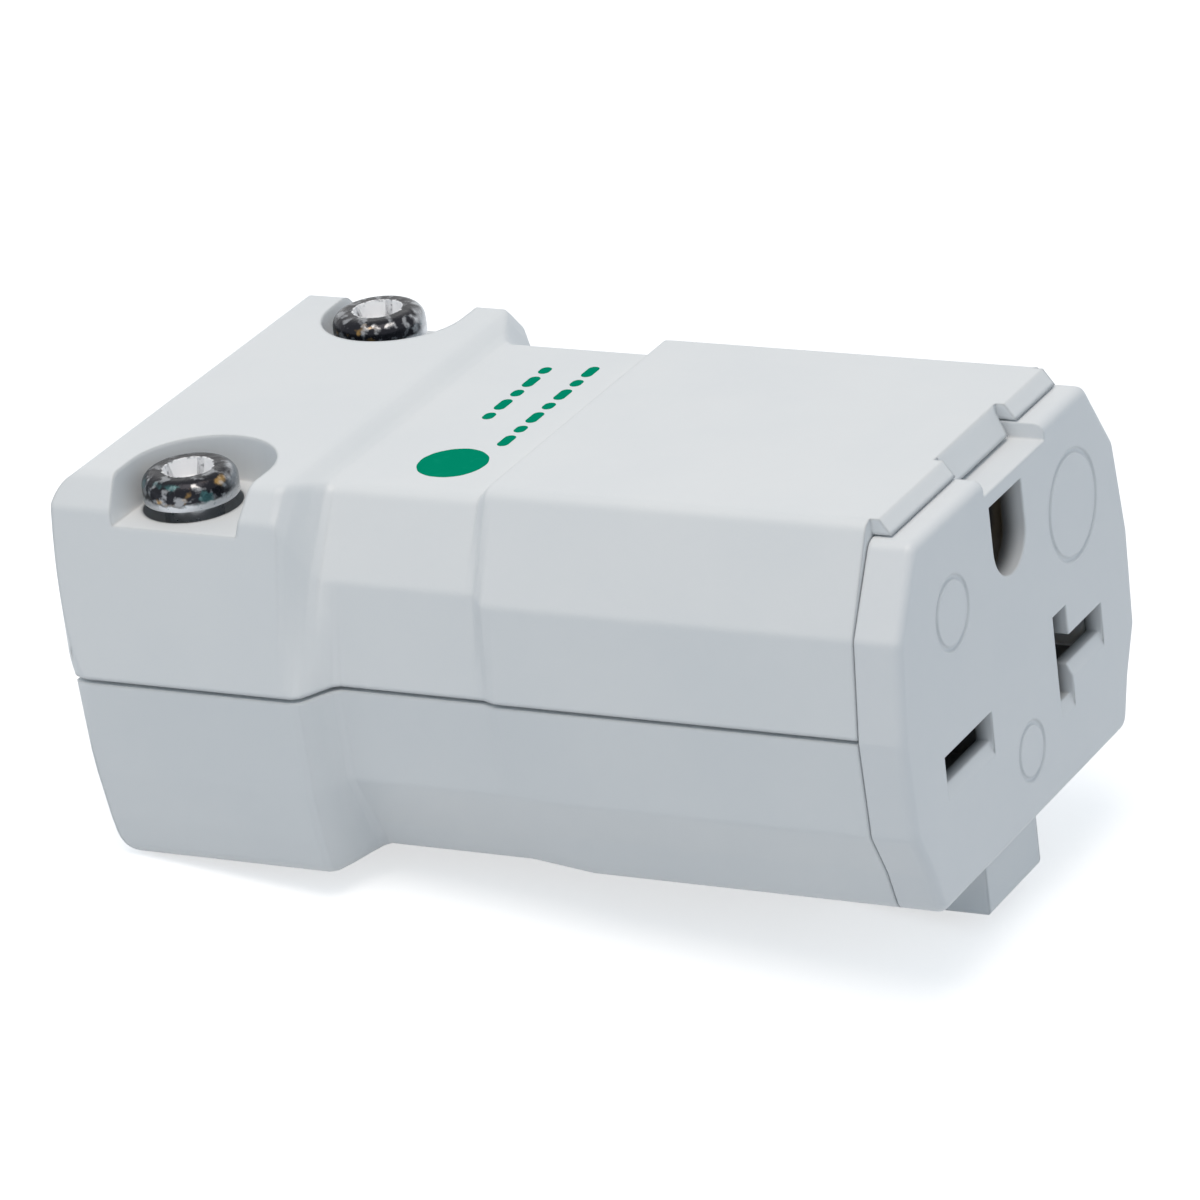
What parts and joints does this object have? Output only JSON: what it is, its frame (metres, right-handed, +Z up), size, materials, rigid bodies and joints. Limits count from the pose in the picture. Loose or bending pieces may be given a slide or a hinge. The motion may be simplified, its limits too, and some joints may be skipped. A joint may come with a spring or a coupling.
{
  "type": "cord connector",
  "caption": "Three-wire female cord connector with straight, T and round-ground slots, a swing-open cover, captive screws, terminals and cord jaws.",
  "frame": {"origin": "under the middle of the body, level with the keel's underside", "axes": "+X towards the mating face, +Z up through the cover, +Y across"},
  "size_m": [0.0636, 0.0418, 0.0338],
  "materials": {
    "white_nylon": "moulded nylon, satin",
    "white_face": "moulded nylon, satin",
    "ivory_insulator": "moulded insulator",
    "contact_brass": "stamped",
    "spring_steel": "tempered",
    "plated_steel": "zinc plated",
    "screw_brass": "turned",
    "green_screw": "green dyed",
    "nickel_screw": "nickel plated",
    "grey_jaw": "moulded nylon"
  },
  "bodies": {
    "base": {"lower_shell": "white_nylon", "face_block": "white_face", "contact_retainer": "ivory_insulator", "near_line_contact": "contact_brass", "far_line_contact": "contact_brass", "ground_contact": "contact_brass", "near_line_spring": "spring_steel", "far_line_spring": "spring_steel", "ground_sleeve_spring": "spring_steel", "near_square_nut": "plated_steel", "far_square_nut": "plated_steel", "lower_cord_jaw": "grey_jaw"},
    "cover": {"upper_cover": "white_nylon", "upper_cord_jaw": "grey_jaw"},
    "near_assembly_carrier": {"near_retaining_ring": "spring_steel"},
    "near_assembly_screw": {"near_assembly_screw": "nickel_screw"},
    "far_assembly_carrier": {"far_retaining_ring": "spring_steel"},
    "far_assembly_screw": {"far_assembly_screw": "nickel_screw"},
    "near_line_terminal_carrier": {"near_line_clamp_plate": "plated_steel"},
    "near_line_terminal_screw": {"near_line_terminal_screw": "screw_brass"},
    "far_line_terminal_carrier": {"far_line_clamp_plate": "plated_steel"},
    "far_line_terminal_screw": {"far_line_terminal_screw": "screw_brass"},
    "ground_terminal_carrier": {"ground_clamp_plate": "plated_steel"},
    "ground_terminal_screw": {"ground_terminal_screw": "green_screw"}
  },
  "joints": [
    {"name": "cover_swing", "type": "hinge", "parent": "base", "child": "cover", "pos_m": [0.02982, 0, 0.03215], "axis": [0, 1, 0], "range_deg": [0, 90]},
    {"name": "near_assembly_travel", "type": "slide", "parent": "cover", "child": "near_assembly_carrier", "axis": [0, 0, 1], "range_m": [-0.00405, 0.00099]},
    {"name": "near_assembly_turn", "type": "hinge", "parent": "near_assembly_carrier", "child": "near_assembly_screw", "pos_m": [-0.02315, -0.0137, 0.031], "axis": [0, 0, 1], "range_deg": [-1835.82, 449.77]},
    {"name": "far_assembly_travel", "type": "slide", "parent": "cover", "child": "far_assembly_carrier", "axis": [0, 0, 1], "range_m": [-0.00492, 0.0002]},
    {"name": "far_assembly_turn", "type": "hinge", "parent": "far_assembly_carrier", "child": "far_assembly_screw", "pos_m": [-0.02315, 0.0137, 0.03185], "axis": [0, 0, 1], "range_deg": [-2232.09, 90.23]},
    {"name": "near_line_terminal_travel", "type": "slide", "parent": "base", "child": "near_line_terminal_carrier", "axis": [0, 0, 1], "range_m": [0, 0.00258]},
    {"name": "near_line_terminal_turn", "type": "hinge", "parent": "near_line_terminal_carrier", "child": "near_line_terminal_screw", "pos_m": [0.00135, -0.00913, 0.0187], "axis": [0, 0, 1], "range_deg": [0, 1169.77]},
    {"name": "far_line_terminal_travel", "type": "slide", "parent": "base", "child": "far_line_terminal_carrier", "axis": [0, 0, 1], "range_m": [0, 0.00258]},
    {"name": "far_line_terminal_turn", "type": "hinge", "parent": "far_line_terminal_carrier", "child": "far_line_terminal_screw", "pos_m": [0.00135, 0.00913, 0.0187], "axis": [0, 0, 1], "range_deg": [0, 1169.77]},
    {"name": "ground_terminal_travel", "type": "slide", "parent": "base", "child": "ground_terminal_carrier", "axis": [0, 0, 1], "range_m": [0, 0.00139]},
    {"name": "ground_terminal_turn", "type": "hinge", "parent": "ground_terminal_carrier", "child": "ground_terminal_screw", "pos_m": [-0.00785, 0, 0.0247], "axis": [0, 0, 1], "range_deg": [0, 630.23]}
  ],
  "couplings": [
    {"joint": "near_assembly_turn", "follows": "near_assembly_travel", "rad_per_m": 7913.3},
    {"joint": "far_assembly_turn", "follows": "far_assembly_travel", "rad_per_m": 7913.3},
    {"joint": "near_line_terminal_turn", "follows": "near_line_terminal_travel", "rad_per_m": 7913.3},
    {"joint": "far_line_terminal_turn", "follows": "far_line_terminal_travel", "rad_per_m": 7913.3},
    {"joint": "ground_terminal_turn", "follows": "ground_terminal_travel", "rad_per_m": 7913.3}
  ]
}
